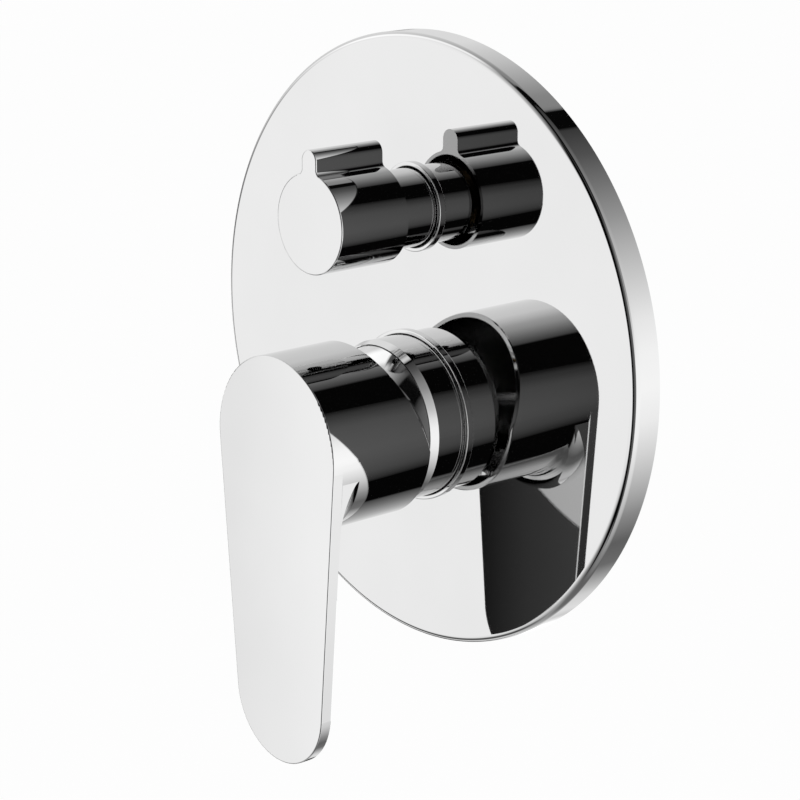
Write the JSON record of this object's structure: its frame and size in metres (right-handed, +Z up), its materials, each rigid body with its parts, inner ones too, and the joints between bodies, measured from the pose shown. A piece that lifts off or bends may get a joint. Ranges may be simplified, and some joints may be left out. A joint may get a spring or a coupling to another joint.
{
  "type": "shower diverter valve",
  "caption": "Concealed single-lever shower mixer and diverter: round chrome plate, drop-shaped lever, finned knob and a brass in-wall body with threaded ports.",
  "frame": {"origin": "centre of the round cover plate, on the finished wall", "axes": "+X right, +Y into the wall, +Z up; the handle and knob stand out towards -Y"},
  "size_m": [0.18, 0.1076, 0.2073],
  "materials": {
    "chrome": "mirror-polished chrome plate",
    "cast_brass": "sand-cast brass with machined faces",
    "turned_brass": "turned brass",
    "white_plastic": "moulded engineering plastic",
    "grey_plastic": "moulded engineering plastic",
    "ceramic": "lapped alumina",
    "black_rubber": "moulded nitrile rubber",
    "foam": "closed-cell foam",
    "steel": "plain stainless steel"
  },
  "bodies": {
    "fixed": {"escutcheon_plate": "chrome", "plate_foam_seal": "foam", "mixer_plate_ring": "black_rubber", "diverter_plate_ring": "black_rubber", "mixer_sleeve": "chrome", "mixer_dome": "chrome", "diverter_sleeve": "chrome", "fixed_disc": "ceramic", "cartridge_base": "white_plastic", "cartridge_seals": "black_rubber", "cartridge_housing": "white_plastic", "cartridge_nut": "turned_brass", "diverter_cartridge": "turned_brass", "diverter_fixed_disc": "ceramic", "diverter_seals": "black_rubber", "mixer_sleeve_oring": "black_rubber", "diverter_sleeve_oring": "black_rubber", "valve_body": "cast_brass"},
    "turret": {"cartridge_rotor": "grey_plastic", "lever_pin": "steel"},
    "lever": {"handle": "chrome", "handle_set_screw": "steel", "lever_stem": "turned_brass"},
    "slide": {"disc_carrier": "grey_plastic", "moving_disc": "ceramic"},
    "selector": {"diverter_knob": "chrome", "knob_set_screw": "steel", "diverter_spindle": "turned_brass", "spindle_oring": "black_rubber", "diverter_moving_disc": "ceramic"}
  },
  "joints": [
    {"name": "temperature_turn", "type": "hinge", "parent": "fixed", "child": "turret", "pos_m": [0, -0.006, -0.0217], "axis": [0, 1, 0], "range_deg": [-50, 50]},
    {"name": "lever_lift", "type": "hinge", "parent": "turret", "child": "lever", "pos_m": [0, -0.006, -0.0217], "axis": [-1, 0, 0], "range_deg": [0, 25]},
    {"name": "disc_slide", "type": "slide", "parent": "turret", "child": "slide", "axis": [0, 0, -1], "range_m": [0, 0.00434]},
    {"name": "diverter_turn", "type": "hinge", "parent": "fixed", "child": "selector", "pos_m": [0, -0.03, 0.0404], "axis": [0, 1, 0], "range_deg": [0, 90]}
  ],
  "couplings": [
    {"joint": "disc_slide", "follows": "lever_lift", "m_per_rad": 0.0099213}
  ]
}
